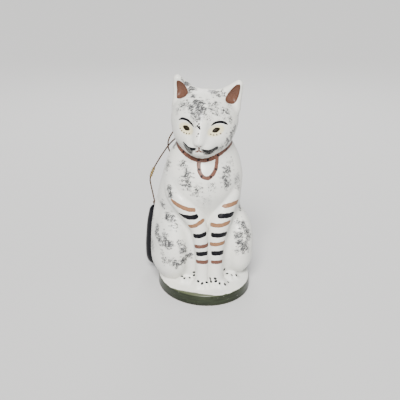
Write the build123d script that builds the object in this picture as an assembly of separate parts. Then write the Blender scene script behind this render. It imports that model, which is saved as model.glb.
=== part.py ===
from build123d import *
import os
from math import cos, pi, radians, sin, tan

# Seated hollow pottery cat on an oval plinth, in millimetres. +Z is up, the cat's chest faces -Y,
# and its right side is -X. The origin is the middle of the plinth's flat underside. Heights of the
# parts that stand on the plinth are given over its top.

# ---- pottery
wall = 4.0             # clay wall of the hollow parts
lute = 0.2             # joint of clay slip between two parts
air_hole = 3.0         # pierced holes that let the hollow parts breathe in the kiln
dome_angles = (30, 60, 80)     # degrees over a rounded end where its sections lie
lump_steps = 12        # spans of the smooth profile that is turned into a round lump

# ---- plinth
plinth_width = 88.0
plinth_length = 104.0
plinth_height = 10.5
plinth_lean = 0.6      # how far the rim leans inwards at its top edge
plinth_edge = 0.8      # rounding of the rim's top edge
vent_back = 26.0       # the vent under the plinth lies this far behind the middle

# ---- torso: height, shift sideways, shift backwards, half width, half depth
torso_sections = [
    (0.0, 0.0, 9.0, 34.0, 30.0),
    (20.0, 0.0, 9.0, 36.0, 33.5),
    (40.0, -0.5, 8.0, 37.5, 36.4),
    (60.0, -2.0, 6.0, 38.5, 37.0),
    (80.0, -4.0, 3.0, 39.5, 36.0),
    (100.0, -2.3, 0.6, 37.0, 32.8),
    (120.0, -0.4, 0.0, 29.8, 27.2),
    (138.0, 0.0, -3.0, 21.0, 20.0),
]

# ---- head, turned to the cat's right and tipped a little
head_height = 151.5
head_shift = (1.0, -4.0)
head_turn = -21.0
head_tip = 3.5
# height from the head's middle, shift forwards, half width, half depth
head_sections = [
    (-27.0, 8.0, 9.0, 9.5),
    (-24.0, 8.0, 17.0, 18.5),
    (-15.0, 6.0, 25.5, 26.5),
    (-5.0, 2.0, 30.3, 30.5),
    (5.0, 0.0, 31.0, 30.6),
    (14.0, 0.0, 27.2, 26.8),
    (21.0, 0.0, 20.3, 20.0),
    (25.0, 0.0, 13.2, 13.0),
    (26.8, 0.0, 7.4, 7.2),
]
# sideways, backwards, height from the head's middle, radius
muzzle_rounds = [
    (0.0, -12.0, -11.0, 12.0),
    (0.0, -25.0, -13.0, 11.2),
    (0.0, -32.0, -13.6, 8.6),
]
nose_rounds = [
    (0.0, -20.0, 9.0, 5.0),
    (0.0, -29.0, 0.0, 5.2),
    (0.0, -36.5, -10.0, 4.6),
]

# ---- ears, in the head's frame: the tip, the outer root and the inner root, sideways and up
ear_round = 3.9
ear_thickness = 7.4
ear_edge = 2.2         # rounding of the ear's front and back edges
ear_back = 1.0         # middle of the ears behind the head's middle
ear_hollow_radius = 5.8
ear_hollow_half = 11.0
ear_hollow_lean = 10.0
ear_hollow_depth = 2.6
right_ear_points = ((-27.3, 33.2), (-26.5, 8.0), (-5.0, 16.0))
left_ear_points = ((26.6, 32.6), (26.0, 8.0), (5.0, 16.0))

# ---- haunches: a flattened round thigh and a lower hock, both standing on the plinth
haunch_spread = 31.0   # middle of each haunch from the middle plane
haunch_back = 2.0
haunch_half = 19.0     # from its middle out to the side
right_thigh_radius = 34.5
left_thigh_radius = 33.0
hock_radius = 21.0
hock_half = 17.0
hock_press = 1.5       # each hock is pressed this far down, and cut level with the plinth

# ---- forelegs: sideways, forwards, height, radius
right_foreleg_rounds = [
    (-26.0, 13.0, 83.5, 16.0),
    (-15.8, 23.5, 60.0, 12.0),
    (-8.6, 28.0, 34.0, 8.2),
    (-7.2, 29.0, 14.0, 7.2),
    (-7.2, 29.0, 0.0, 7.6),
]
left_foreleg_rounds = [
    (16.5, 13.0, 83.5, 15.5),
    (12.0, 23.5, 58.0, 12.0),
    (7.4, 28.0, 34.0, 8.2),
    (6.8, 29.0, 14.0, 7.2),
    (6.8, 29.0, 0.0, 7.6),
]
leg_split = 0.0        # plane between the two forelegs
forepaw_radius = 9.4
forepaw_half = 7.5      # from the plinth up to its top
forepaw_out = 1.0      # middle of each paw further out than its leg
forepaw_forward = 0.6  # and further forward
hind_paw_radius = 8.0
hind_paw_half = 15.0
hind_paw_spread = 20.0
hind_paw_forward = 13.0
hind_paw_turn = 15.0

# ---- tail: sideways, backwards, height, radius
tail_rounds = [
    (6.0, 36.0, 10.0, 7.8),
    (-12.0, 43.5, 8.4, 8.0),
    (-31.0, 41.0, 8.2, 8.0),
    (-40.5, 35.5, 11.5, 8.0),
    (-44.0, 31.5, 27.5, 8.0),
    (-43.0, 30.0, 43.5, 7.6),
    (-41.0, 30.0, 54.5, 6.6),
]

# ---- cord: a stiff waxed cord from a hole behind the shoulder to a hole in the tail's tip
cord_diameter = 1.4
cord_clearance = 0.2
cord_points = [
    (-14.0, 22.8, 113.0),
    (-19.5, 31.5, 116.6),
    (-25.5, 34.2, 121.3),
    (-28.3, 33.4, 129.2),
    (-26.8, 33.0, 136.9),
    (-20.8, 33.0, 145.2),
    (-12.4, 33.5, 153.0),
    (-3.0, 34.0, 158.4),
    (6.6, 34.4, 159.6),
    (14.0, 34.9, 154.8),
    (14.6, 35.5, 146.6),
    (8.2, 36.1, 140.8),
    (-0.6, 36.6, 139.4),
    (-10.4, 37.1, 139.8),
    (-19.4, 37.4, 135.6),
    (-26.6, 37.6, 128.6),
    (-32.6, 37.9, 120.2),
    (-37.4, 38.2, 112.8),
    (-41.4, 38.2, 106.2),
    (-44.9, 38.0, 97.8),
    (-45.6, 37.5, 94.4),
    (-45.1, 36.2, 90.4),
    (-43.6, 33.6, 81.6),
    (-41.2, 30.1, 67.0),
]
cord_arc_share = 0.45  # share of the shorter run that each arc takes
whipping_run = 18      # the gold thread is bound round the run that starts at this point
whipping_length = 8.5
whipping_wall = 0.6
knot_radius = 2.2
knot_length = 3.4
knot_rounding = 1.0
knot_sink = 1.0        # the stopper knot stays this far off the curved wall, measured on the cord


def lump(place, radius, half, turn=(0, 0, 0), grow=0.0):
    """A round lump of clay: an oval turned about its axis, which stands along Z before turn."""
    rim = []
    for step in range(lump_steps + 1):
        angle = pi * (step / lump_steps - 0.5)
        rim.append(((radius + grow) * cos(angle), (half + grow) * sin(angle)))
    profile = Spline(rim, tangents=[(1, 0), (-1, 0)])
    face = make_face([profile, Line(profile @ 1, profile @ 0)])
    return Location(place, turn) * revolve(Plane.XZ * face, Axis.Z)


def dome(place, outward, radius):
    """Shrinking sections that round off the end of a tube."""
    for angle in dome_angles:
        turn = radians(angle)
        yield place + outward * (radius * sin(turn)), radius * cos(turn)


def tapered_tube(rounds, grow=0.0):
    """A smooth tube through rounds of given place and radius, rounded off at both ends."""
    places = [Vector(x, y, z) for x, y, z, radius in rounds]
    radii = [radius + grow for x, y, z, radius in rounds]
    path = Spline(places)
    start = path % 0
    end = path % 1
    sections = [(place, start, radius) for place, radius in dome(places[0], -start, radii[0])][::-1]
    for place, radius in zip(places, radii):
        sections.append((place, path % path.param_at_point(place), radius))
    sections += [(place, end, radius) for place, radius in dome(places[-1], end, radii[-1])]
    return loft([Plane(place, z_dir=along) * Circle(radius) for place, along, radius in sections])


def over_plinth(solid):
    """The part of a solid that stands over the plinth's top."""
    size = 4 * plinth_length
    ground = Pos(0, 0, plinth_height + lute - size / 2) * Box(size, size, size)
    return solid - ground


def raised(rounds):
    """Leg rounds as x, y, z, radius in the figure's frame."""
    return [(x, -forward, plinth_height + height, radius) for x, forward, height, radius in rounds]


def plinth_form(grow=0.0):
    foot = Ellipse(plinth_width / 2 + grow, plinth_length / 2 + grow)
    lip = Ellipse(plinth_width / 2 - plinth_lean + grow, plinth_length / 2 - plinth_lean + grow)
    return loft([foot, Pos(0, 0, plinth_height + grow) * lip])


def base_plinth():
    body = plinth_form()
    body = fillet(body.edges().sort_by(Axis.Z)[-1], plinth_edge)
    vent = Pos(0, vent_back, plinth_height / 2) * Cylinder(air_hole / 2, 2 * plinth_height)
    return body - vent


def torso_form(grow=0.0):
    sections = []
    for height, sideways, back, half_width, half_depth in torso_sections:
        outline = Ellipse(half_width + grow, half_depth + grow)
        sections.append(Pos(sideways, back, plinth_height + lute + height) * outline)
    return loft(sections)


def in_head(shape):
    place = (head_shift[0], head_shift[1], plinth_height + head_height)
    return Location(place) * Rot(0, 0, head_turn) * Rot(0, head_tip, 0) * shape


def skull_form(grow=0.0):
    """Skull and cheeks in the head's frame. Its height grows at the top and at the bottom."""
    top = head_sections[-1][0]
    sections = []
    for height, forward, half_width, half_depth in head_sections:
        outline = Ellipse(half_width + grow, half_depth + grow)
        sections.append(Pos(0, -forward, height * (top + grow) / top) * outline)
    return loft(sections)


def head_form(grow=0.0):
    form = skull_form(grow) + tapered_tube(muzzle_rounds, grow)
    return in_head(form + tapered_tube(nose_rounds, grow))


def head_shell():
    bottom = plinth_height + head_height + head_sections[0][0]
    pierced = Pos(head_shift[0], head_shift[1], bottom) * Cylinder(air_hole / 2, 4 * wall)
    return head_form() - in_head(skull_form(-wall)) - pierced


def ear(points):
    """A rounded triangle of clay with a hollow in its front, cut to sit on the skull."""
    tip, outer_root, inner_root = points
    outline = make_hull([(Pos(x, z) * Circle(ear_round)).edge() for x, z in points])
    plate = extrude(Plane.XZ * outline, ear_thickness / 2, both=True)
    plate = fillet(plate.faces().sort_by(Axis.Y)[0].edges(), ear_edge)
    plate = fillet(plate.faces().sort_by(Axis.Y)[-1].edges(), ear_edge)
    plate = Pos(0, ear_back, 0) * plate
    lean = ear_hollow_lean if tip[0] > 0 else -ear_hollow_lean
    middle = (0.7 * tip[0] + 0.15 * (outer_root[0] + inner_root[0]), 0.66 * tip[1])
    front = ear_back - ear_thickness / 2 - ear_hollow_radius + ear_hollow_depth
    hollow = lump((middle[0], front, middle[1]), ear_hollow_radius, ear_hollow_half, (0, lean, 0))
    return in_head(plate - hollow) - head_form(lute)


def haunch_form(side, grow=0.0):
    """Thigh and hock of one side: -1 is the cat's right, 1 its left."""
    radius = right_thigh_radius if side < 0 else left_thigh_radius
    thigh_place = (side * haunch_spread, haunch_back, plinth_height + radius)
    hock_place = (side * haunch_spread, haunch_back, plinth_height + hock_radius - hock_press)
    thigh = lump(thigh_place, radius, haunch_half, (0, 90, 0), grow)
    return thigh + lump(hock_place, hock_radius, hock_half, (0, 90, 0), grow)


def haunch(side):
    return over_plinth(haunch_form(side)) - torso_form(lute)


def foreleg_form(side, grow=0.0):
    rounds = raised(right_foreleg_rounds if side < 0 else left_foreleg_rounds)
    foot_x = rounds[-1][0] + side * forepaw_out
    foot_y = rounds[-1][1] - forepaw_forward
    paw = lump((foot_x, foot_y, plinth_height), forepaw_radius, forepaw_half, grow=grow)
    return tapered_tube(rounds, grow) + paw


def foreleg(side):
    size = 4 * plinth_length
    edge = leg_split + side * lute / 2
    outside = Pos(edge + side * size / 2, 0, 0) * Box(size, size, size)
    leg = foreleg_form(side) & outside
    leg -= torso_form(lute)
    leg -= head_form(lute)
    leg -= haunch_form(side, lute)
    return over_plinth(leg)


def hind_paw(side):
    place = (side * hind_paw_spread, -hind_paw_forward, plinth_height)
    paw = lump(place, hind_paw_radius, hind_paw_half, (90, 0, side * hind_paw_turn))
    paw -= haunch_form(side, lute)
    paw -= torso_form(lute)
    paw -= foreleg_form(side, lute)
    return over_plinth(paw)


def tail_path():
    return [(x, y, plinth_height + height, radius) for x, y, height, radius in tail_rounds]


def cord_run(start):
    """The straight run of the cord from one of its points to the next."""
    return Vector(cord_points[start]), Vector(cord_points[start + 1])


def cord_bore(start, length):
    """A hole's tool along a run of the cord, long enough both ways."""
    first, second = cord_run(start)
    along = Plane((first + second) / 2, z_dir=second - first)
    return along * Cylinder(cord_diameter / 2 + cord_clearance, length)


def tail():
    body = tapered_tube(tail_path())
    body -= torso_form(lute)
    body -= haunch_form(-1, lute)
    body -= plinth_form(lute)
    last_run = len(cord_points) - 2
    return body - cord_bore(last_run, 4 * tail_rounds[-1][3])


def torso_shell():
    floor_top = plinth_height + lute + wall
    size = 4 * plinth_length
    floor = Pos(0, 0, floor_top - size / 2) * Box(size, size, size)
    hollow = torso_form(-wall) - floor
    vent = Pos(0, vent_back, floor_top) * Cylinder(air_hole / 2, 4 * wall)
    shell = torso_form() - hollow - head_form(lute) - vent
    return shell - cord_bore(0, 6 * wall)


def cord_path():
    """Straight runs joined by arcs as large as the shorter run allows, and the arcs' radii."""
    points = [Vector(*point) for point in cord_points]
    radii = []
    for before, corner, after in zip(points, points[1:], points[2:]):
        come = corner - before
        go = after - corner
        shorter = min(come.length, go.length)
        radii.append(cord_arc_share * shorter / tan(radians(come.get_angle(go)) / 2))
    return FilletPolyline(points, radius=radii), radii


def cord():
    path, radii = cord_path()
    section = Plane(path @ 0, z_dir=path % 0) * Circle(cord_diameter / 2)
    tube = sweep(section, path=path)
    print("cord radii", [round(radius, 1) for radius in radii])
    print("cord length", round(path.length, 2))
    print("cord volume", round(tube.volume, 2), "section x length", round(section.area * path.length, 2))
    return tube


def knot(middle, along):
    """A drawn-up knot as a round-ended bead on the cord."""
    plane = Plane(middle, z_dir=along)
    body = plane * Cylinder(knot_radius, knot_length)
    body = fillet(body.edges().filter_by(GeomType.CIRCLE), knot_rounding)
    return body - plane * Cylinder(cord_diameter / 2 + cord_clearance / 2, 2 * knot_length)


def cord_whipping():
    first, second = cord_run(whipping_run)
    outer = cord_diameter / 2 + cord_clearance + whipping_wall
    plane = Plane((first + second) / 2, z_dir=second - first)
    bore = plane * Cylinder(cord_diameter / 2 + cord_clearance, 2 * whipping_length)
    return plane * Cylinder(outer, whipping_length) - bore


def shoulder_knot():
    """The stopper knot that lies against the inside of the torso's wall."""
    first, second = cord_run(0)
    along = (second - first).normalized()
    inside = Line(first - along * wall, second) & torso_form(-wall)
    wall_point = inside.edges().sort_by(Axis.Y)[-1].vertices().sort_by(Axis.Y)[-1].center()
    return knot(wall_point - along * (knot_length / 2 + knot_sink), along)


def tail_tie():
    """The knot that ties the cord down on the tail's tip."""
    first, second = cord_run(len(cord_points) - 2)
    along = (second - first).normalized()
    tip = Vector(*tail_path()[-1][:3])
    reach = (tip - second).dot(along) - tail_rounds[-1][3] - lute - knot_length / 2
    return knot(second + along * reach, along)


nodes = {
    "base_plinth": base_plinth(),
    "torso_shell": torso_shell(),
    "head_shell": head_shell(),
    "right_ear": ear(right_ear_points),
    "left_ear": ear(left_ear_points),
    "right_haunch": haunch(-1),
    "left_haunch": haunch(1),
    "right_foreleg": foreleg(-1),
    "left_foreleg": foreleg(1),
    "right_hind_paw": hind_paw(-1),
    "left_hind_paw": hind_paw(1),
    "tail": tail(),
    "cord": cord(),
    "cord_whipping": cord_whipping(),
    "shoulder_knot": shoulder_knot(),
    "tail_tie": tail_tie(),
}

os.makedirs("parts", exist_ok=True)
for name, solid in nodes.items():
    export_step(solid, f"parts/{name}.step")
    print(name, len(solid.solids()), "solid", round(solid.volume), "mm3")
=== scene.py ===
import math
import random

import bpy
import numpy as np
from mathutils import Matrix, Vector


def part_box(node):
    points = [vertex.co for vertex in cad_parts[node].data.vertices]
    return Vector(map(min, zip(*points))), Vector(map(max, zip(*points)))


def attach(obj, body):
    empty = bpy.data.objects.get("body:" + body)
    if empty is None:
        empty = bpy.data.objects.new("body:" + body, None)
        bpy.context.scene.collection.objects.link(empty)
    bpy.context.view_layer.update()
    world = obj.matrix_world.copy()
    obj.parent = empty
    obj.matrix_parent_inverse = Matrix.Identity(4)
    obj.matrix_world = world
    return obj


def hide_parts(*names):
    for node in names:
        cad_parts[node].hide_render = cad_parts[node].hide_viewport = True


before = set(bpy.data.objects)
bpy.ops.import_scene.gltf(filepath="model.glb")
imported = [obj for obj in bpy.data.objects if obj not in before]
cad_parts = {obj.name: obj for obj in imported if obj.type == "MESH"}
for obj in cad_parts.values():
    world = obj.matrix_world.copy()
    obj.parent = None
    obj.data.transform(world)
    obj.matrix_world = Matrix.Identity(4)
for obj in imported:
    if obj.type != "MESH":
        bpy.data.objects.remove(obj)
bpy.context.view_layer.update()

# Glazed pottery cat with painted markings, seated on an oval plinth, with a stiff cord from its
# back to the tip of its tail. Clay is worked out in millimetres, as a distance form that is
# negative inside the clay, and becomes metres only when a mesh is made.

MM = 0.001
BODY = "root"

# ---- camera
CAMERA_TURN = -12.0          # degrees, to the cat's right
CAMERA_RISE = 20.5
CAMERA_REACH = 0.56
CAMERA_AIM = Vector((-0.00365, 0.0, 0.08395))
CAMERA_LENS = 53.7

# ---- cord, in metres
CORD_ROUTE = [
    (-0.0140, 0.0228, 0.1130), (-0.0195, 0.0315, 0.1166), (-0.0255, 0.0342, 0.1213),
    (-0.0283, 0.0334, 0.1292), (-0.0268, 0.0330, 0.1369), (-0.0208, 0.0330, 0.1452),
    (-0.0124, 0.0335, 0.1530), (-0.0030, 0.0340, 0.1584), (0.0066, 0.0344, 0.1596),
    (0.0140, 0.0349, 0.1548), (0.0146, 0.0355, 0.1466), (0.0082, 0.0361, 0.1408),
    (-0.0006, 0.0366, 0.1394), (-0.0104, 0.0371, 0.1398), (-0.0194, 0.0374, 0.1356),
    (-0.0266, 0.0376, 0.1286), (-0.0326, 0.0379, 0.1202), (-0.0374, 0.0382, 0.1128),
    (-0.0414, 0.0382, 0.1062), (-0.0449, 0.0380, 0.0978), (-0.0456, 0.0375, 0.0944),
    (-0.0451, 0.0362, 0.0904), (-0.0436, 0.0336, 0.0816), (-0.0412, 0.0301, 0.0670),
]
CORD_DIAMETER = 0.0014
WHIPPING_MIDDLE = Vector((-0.04315, 0.0381, 0.1020))
WHIPPING_LENGTH = 0.0100
CORD_LAY = 5.2               # millimetres in which the two plies go once round
KNOT_LENGTH = 3.0            # millimetres
CORD_STEP = 0.45             # millimetres between the rings of points of its mesh

# ---- clay: the plinth
PLINTH_A = 44.0              # half its width
PLINTH_B = 52.0              # half its depth
PLINTH_H = 10.5
PLINTH_LEAN = 0.6            # how far in its side leans
PLINTH_CROWN = 1.6           # how far its top rises to the middle
PLINTH_MEAN = 48.0           # half its size, on average
FOOT_ROUND = 0.6             # rounding of its lower edge
GREEN_EDGE = 0.985           # where the green starts, as a share of the plinth's oval
GREEN_LAP = 0.065            # how much further in it laps over the top edge
GREEN_LAP_AT = -23.0         # at this turn from the front
GREEN_LAP_SPREAD = 18.0      # degrees

# ---- clay: the body. An oval is given as its centre and its half sizes
# height over the plinth, sideways, backwards, half width, half depth
TORSO = [
    (0.0, 0.0, 9.0, 34.0, 30.0),
    (20.0, 0.0, 9.0, 36.0, 33.5),
    (40.0, -0.5, 9.0, 37.5, 36.0),
    (60.0, -2.0, 9.2, 38.5, 34.5),
    (80.0, -3.0, 5.0, 39.2, 34.6),
    (100.0, -0.9, 1.0, 37.0, 32.4),
    (120.0, -0.2, 0.0, 31.4, 27.2),
    (138.0, 0.0, -3.0, 21.4, 20.0),
]
RUMP = ((0, 14, 34), (38, 34, 34))
CHEST = ((-2.5, -12.5, 106), (23, 22.5, 23))

# ---- clay: the head, in its own frame
HEAD_MIDDLE = np.array([1.0, -4.0, 162.0])
HEAD_TURN = -21.0            # degrees, to the cat's right
HEAD_TIP = 3.5
SKULL = ((-1.2, 0, 0), (30.0, 31.0, 26.8))
FACE = ((0, -13, -12), (23.5, 20, 15))
EYE_HOLLOW = ((13.5, -34.0, 0.0), (8.5, 6, 5))
CHEEK = ((6.0, -29.5, -16.0), (6.5, 8.5, 5.2))
NOSE_BRIDGE = ((0, -25, 7, 4.6), (0, -35.5, -10, 3.9))
NOSE = ((0, -37.8, -12.2), (3.5, 2.8, 2.4))
CHIN = ((0, -26, -21.5), (9.5, 9.0, 5.5))
# the corners of its plate, then its hollow's lean in degrees, centre and radii
EARS = {
    "right": (((-27.3, 0, 33), (-27, 2, 10), (-9, 0, 19.5)), -12.0, (-23.0, -7.4, 23.0), (6.2, 6.2, 12.0)),
    "left": (((26.6, 0, 32.8), (25.6, 2, 12), (7.4, 0, 20.3)), 20.0, (22.6, -7.4, 21.5), (6.0, 6.2, 12.5)),
}
EAR_THICK = 3.9              # half its thickness

# ---- clay: haunches, legs, paws and tail. A haunch is its thigh and its hock
RIGHT_HAUNCH = (((-30.5, 2, 47), (18, 31, 36.5)), ((-32, 3, 28.5), (16.5, 27.5, 18.5)))
LEFT_HAUNCH = (((30, 2, 42.5), (17.6, 31, 34)), ((30.5, 3, 27), (14.6, 26, 16)))
# sideways, backwards, up, radius
RIGHT_FLANK = [(-33.5, 14, 77, 11), (-34.6, 13, 50, 12.4), (-34, 12, 24, 12.6)]
RIGHT_LEG = [(-24, -1, 112, 12), (-28, -13.3, 98.5, 9.8), (-22, -21.7, 88, 9.2),
             (-12.2, -26.6, 72.5, 8.4), (-9.7, -28.5, 60, 7.2), (-8.5, -29, 46, 6.5),
             (-8.1, -29, 26, 6.0), (-8.3, -29, 12, 6.8)]
LEFT_LEG = [(18, -1, 112, 12), (20.5, -14.2, 99, 10.3), (16.5, -21, 88, 9.8), (9.5, -26.4, 73, 9.6),
            (6.6, -27.8, 60, 8.8), (5.2, -28.8, 46, 7.5), (4.8, -29, 26, 6.9), (5.0, -29, 12, 7.3)]
TAIL = [(6, 36, 20.5, 7.8), (-12, 43.5, 18.2, 8), (-29, 43.2, 16.2, 8), (-38.5, 39, 13.4, 7.9),
        (-43.8, 32.6, 15.2, 7.8), (-44.8, 31, 27, 7.7), (-44.2, 30.8, 40, 7.5), (-43.2, 30.4, 54, 7.1),
        (-41.6, 30, 65, 6.5)]
# centre, radii, degrees turned, and where its toes are
PAWS = {
    "right_fore": ((-8.6, -30, 11.5), (8.8, 8.2, 5.5), 0, [(-12.8, -35), (-8.6, -36.6), (-4.4, -35.6)]),
    "left_fore": ((6.4, -30, 11.5), (9.2, 8.2, 5.5), 0, [(1.8, -35.6), (6.4, -36.8), (10.8, -35.4)]),
    "right_hind": ((-20, -12, 11.5), (9, 13, 5), -15, [(-25.2, -20.2), (-20.6, -23), (-15.8, -22.6)]),
    "left_hind": ((20, -13, 11.5), (9, 13, 5), 15, [(15.6, -22.6), (20.4, -24.4), (25.4, -22.6)]),
}
TOE_HEIGHT = 11.6
TOE_RADII = (2.7, 3.8, 3.7)

# ---- how finely it is made
LIMB_STEPS = 7               # straight runs between two rounds of a limb
CLOSE = 8.0                  # further than this from its box, a part is taken as its box
BATCH = 60000                # points of a grid worked out at once
CLAY_BOX = ((-54, -56, -2.0), (54, 56, 204))
NET_STEP = 0.95              # spacing of the skin's net
NORMAL_REACH = 0.4           # the skin's slope is read over this much
TAIL_BOX = ((-56, 18, 2), (18, 56, 76))
TAIL_STEP = 1.0
SMALL_PATCH = 220            # faces
OWN_VOTE = 1.5               # what a face's own piece counts for, beside its neighbours' 1
BRUSH_STEP = 0.7             # spacing of points along a stroke
PAINT_LIFT = 0.10            # how far a brush colour stands over the glaze
SUNK = -0.22                 # how far a stroke's edges lie under it
ALL_PHASES = 6.28            # radians


# ---- camera and scene
def put(name, data):
    piece = bpy.data.objects.new(name, data)
    bpy.context.scene.collection.objects.link(piece)
    return piece


def make_camera():
    data = bpy.data.cameras.new("camera")
    data.lens = CAMERA_LENS
    data.clip_start = 0.01
    data.clip_end = 20.0
    camera = put("camera", data)
    turn, rise = math.radians(CAMERA_TURN), math.radians(CAMERA_RISE)
    back = Vector((math.sin(turn) * math.cos(rise), -math.cos(turn) * math.cos(rise), math.sin(rise)))
    camera.location = CAMERA_AIM + back * CAMERA_REACH
    camera.rotation_euler = back.to_track_quat("Z", "Y").to_euler()
    bpy.context.scene.camera = camera


# ---- node helpers
class Paint:
    """A material's node tree, built by short calls that return output sockets."""

    def __init__(self, name, roughness, sheen, coat=0.0):
        self.made = bpy.data.materials.new(name)
        self.made.use_nodes = True
        self.tree = self.made.node_tree
        self.shader = self.tree.nodes["Principled BSDF"]
        for key, value in (("Roughness", roughness), ("Coat Weight", coat),
                           ("Specular IOR Level", sheen), ("Coat Roughness", COAT_ROUGHNESS)):
            self.shader.inputs[key].default_value = value
        self.place = self.node("ShaderNodeTexCoord", output="Object")

    def node(self, kind, output=0, values=None, **settings):
        made = self.tree.nodes.new(kind)
        for key, value in settings.items():
            setattr(made, key, value)
        for key, value in (values or {}).items():
            if isinstance(value, bpy.types.NodeSocket):
                self.tree.links.new(value, made.inputs[key])
            else:
                made.inputs[key].default_value = value
        return made.outputs[output]

    def math(self, operation, a, b):
        return self.node("ShaderNodeMath", values={0: a, 1: b}, operation=operation)

    def times(self, a, b):
        return self.math("MULTIPLY", a, b)

    def step(self, value, low, high, to_low=0.0, to_high=1.0):
        """A soft step: value's range from low to high, mapped to another."""
        values = {"Value": value, "From Min": low, "From Max": high, "To Min": to_low, "To Max": to_high}
        return self.node("ShaderNodeMapRange", values=values, interpolation_type="SMOOTHSTEP")

    def mix(self, factor, a, b):
        a, b = ((*v, 1.0) if isinstance(v, tuple) else v for v in (a, b))
        return self.node("ShaderNodeMix", 2, {0: factor, 6: a, 7: b}, data_type="RGBA")

    def stretched(self, scale, turn=(0, 0, 0)):
        """Object coordinates in millimetres, turned and then stretched."""
        scale = tuple(v / MM for v in scale)
        turned = self.node("ShaderNodeMapping", values={"Vector": self.place, "Rotation": turn})
        return self.node("ShaderNodeMapping", values={"Vector": turned, "Scale": scale})

    def noise(self, size, detail, roughness=0.5, stretch=(1, 1, 1), turn=(0, 0, 0)):
        """Noise whose blots are about size millimetres, longer where stretch is larger."""
        where = self.stretched(tuple(1.0 / (size * v) for v in stretch), turn)
        values = {"Vector": where, "Scale": 1.0, "Detail": detail, "Roughness": roughness}
        return self.node("ShaderNodeTexNoise", values=values)

    def cells(self, size):
        where = self.stretched((1.0 / size,) * 3)
        return self.node("ShaderNodeTexVoronoi", "Distance", {"Vector": where, "Scale": 1.0})

    def mask(self, name):
        return self.node("ShaderNodeAttribute", "Fac", attribute_name=name)

    def height(self):
        """Height in millimetres."""
        return self.math("DIVIDE", self.node("ShaderNodeSeparateXYZ", "Z", {0: self.place}), MM)

    def finish(self, colour, roughness, bump, strength, depth):
        """The material, with the bump's depth in millimetres."""
        values = {"Height": bump, "Strength": strength, "Distance": depth * MM}
        normal = self.node("ShaderNodeBump", values=values)
        for key, value in (("Base Color", colour), ("Roughness", roughness), ("Normal", normal)):
            if value is not None:
                self.tree.links.new(value, self.shader.inputs[key])
        return self.made


# ---- materials
WHITE = (0.76, 0.755, 0.70)
COOL_WHITE = (0.62, 0.635, 0.61)
SPECK_WHITE = (0.50, 0.50, 0.47)
SMOKE = (0.012, 0.012, 0.014)
PALE_SMOKE = (0.07, 0.07, 0.075)
SMOKE_FILM = (0.20, 0.205, 0.205)
CREAM = (0.66, 0.58, 0.30)
GREEN = (0.026, 0.034, 0.016)
DARK_GREEN = (0.010, 0.0135, 0.007)
PAINTED_HIGHLIGHT_GREEN = (0.17, 0.19, 0.11)
CHIPPED_GREEN = (0.62, 0.62, 0.57)
BISQUE = (0.50, 0.42, 0.34)
BLACK = (0.0035, 0.0035, 0.0055)
WORN_BLACK = (0.012, 0.012, 0.015)
THIN_BLACK = (0.012, 0.012, 0.016)
CORD_BROWN = (0.026, 0.013, 0.007)
WORN_CORD = (0.135, 0.066, 0.036)
OLD_GOLD = (0.20, 0.13, 0.045)
GOLD = (0.62, 0.47, 0.20)
# each brush colour's middle, edge and thinned colour, and the slot it counts as
BRUSHES = {
    "tan": ((0.22, 0.112, 0.060), (0.19, 0.072, 0.030), (0.29, 0.175, 0.108), "white_glaze"),
    "rose": ((0.118, 0.054, 0.040), (0.115, 0.044, 0.028), (0.18, 0.095, 0.070), "white_glaze"),
    "ear_pink": ((0.105, 0.050, 0.034), (0.085, 0.035, 0.021), (0.145, 0.076, 0.054), "white_glaze"),
    "olive": ((0.016, 0.012, 0.004), (0.008, 0.006, 0.003), (0.024, 0.019, 0.006), "black_glaze"),
    "lash": ((0.045, 0.022, 0.012), (0.03, 0.015, 0.01), (0.09, 0.05, 0.03), "black_glaze"),
    "eye": ((0.006, 0.004, 0.002), (0.014, 0.009, 0.003), (0.010, 0.007, 0.003), "black_glaze"),
}
SHEEN = 0.25                 # specular level of the white glaze, the cord and the thread
DULL_SHEEN = 0.14            # that of the black glaze and the brush colours
COAT_ROUGHNESS = 0.12


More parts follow.
